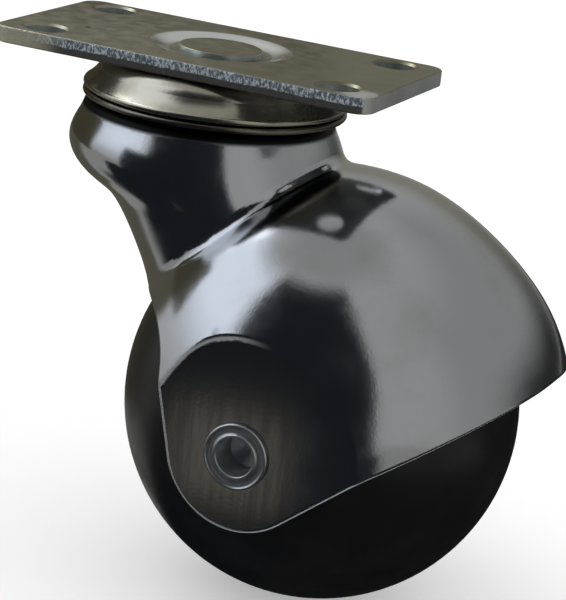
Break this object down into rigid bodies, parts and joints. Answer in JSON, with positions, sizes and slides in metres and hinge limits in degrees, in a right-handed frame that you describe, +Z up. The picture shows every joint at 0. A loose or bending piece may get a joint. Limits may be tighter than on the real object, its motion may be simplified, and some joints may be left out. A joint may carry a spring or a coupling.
{
  "type": "ball castor",
  "caption": "Swivel ball castor: a drilled oblong plate over a double ball race, a chromed hood and a black ball wheel on a riveted axle.",
  "frame": {"origin": "centre of the mounting plate's top face, on the swivel axis", "axes": "+Z up out of the plate along the swivel axis; +X along the plate's long side, the way that the wheel trails at rest; +Y along the wheel's axle"},
  "size_m": [0.0756, 0.0548, 0.0684],
  "materials": {
    "plate_steel": "satin plated",
    "race_plate": "bright nickel plated",
    "hood_chrome": "polished chrome plated",
    "rivet_steel": "bright plated",
    "washer_plastic": "matt",
    "bush_plastic": "matt",
    "ball_tread": "smooth, semi-gloss",
    "bearing_steel": "polished"
  },
  "bodies": {
    "plate": {"mounting_plate": "plate_steel", "king_pin": "plate_steel", "upper_race_cup": "race_plate", "lower_race_cup": "race_plate"},
    "hood": {"hood": "hood_chrome", "race_ring": "race_plate", "axle": "rivet_steel", "thrust_washer_front": "washer_plastic", "thrust_washer_back": "washer_plastic"},
    "wheel": {"ball_wheel": "ball_tread", "wheel_bush_front": "bush_plastic", "wheel_bush_back": "bush_plastic"},
    "upper_ball_row": {"upper_ball_01": "bearing_steel", "upper_ball_02": "bearing_steel", "upper_ball_03": "bearing_steel", "upper_ball_04": "bearing_steel", "upper_ball_05": "bearing_steel", "upper_ball_06": "bearing_steel", "upper_ball_07": "bearing_steel", "upper_ball_08": "bearing_steel", "upper_ball_09": "bearing_steel", "upper_ball_10": "bearing_steel", "upper_ball_11": "bearing_steel", "upper_ball_12": "bearing_steel", "upper_ball_13": "bearing_steel", "upper_ball_14": "bearing_steel", "upper_ball_15": "bearing_steel", "upper_ball_16": "bearing_steel"},
    "lower_ball_row": {"lower_ball_01": "bearing_steel", "lower_ball_02": "bearing_steel", "lower_ball_03": "bearing_steel", "lower_ball_04": "bearing_steel", "lower_ball_05": "bearing_steel", "lower_ball_06": "bearing_steel", "lower_ball_07": "bearing_steel", "lower_ball_08": "bearing_steel", "lower_ball_09": "bearing_steel", "lower_ball_10": "bearing_steel", "lower_ball_11": "bearing_steel", "lower_ball_12": "bearing_steel"}
  },
  "joints": [
    {"name": "swivel", "type": "hinge", "parent": "plate", "child": "hood", "pos_m": [0, 0, -0.006], "axis": [0, 0, 1], "continuous": true},
    {"name": "wheel_spin", "type": "hinge", "parent": "hood", "child": "wheel", "pos_m": [0.0195, 0, -0.043], "axis": [0, 1, 0], "continuous": true},
    {"name": "upper_row_orbit", "type": "hinge", "parent": "plate", "child": "upper_ball_row", "pos_m": [0, 0, -0.0047], "axis": [0, 0, 1], "continuous": true},
    {"name": "lower_row_orbit", "type": "hinge", "parent": "plate", "child": "lower_ball_row", "pos_m": [0, 0, -0.0115], "axis": [0, 0, 1], "continuous": true}
  ],
  "couplings": [
    {"joint": "upper_row_orbit", "follows": "swivel", "ratio": 0.5},
    {"joint": "lower_row_orbit", "follows": "swivel", "ratio": 0.5}
  ]
}
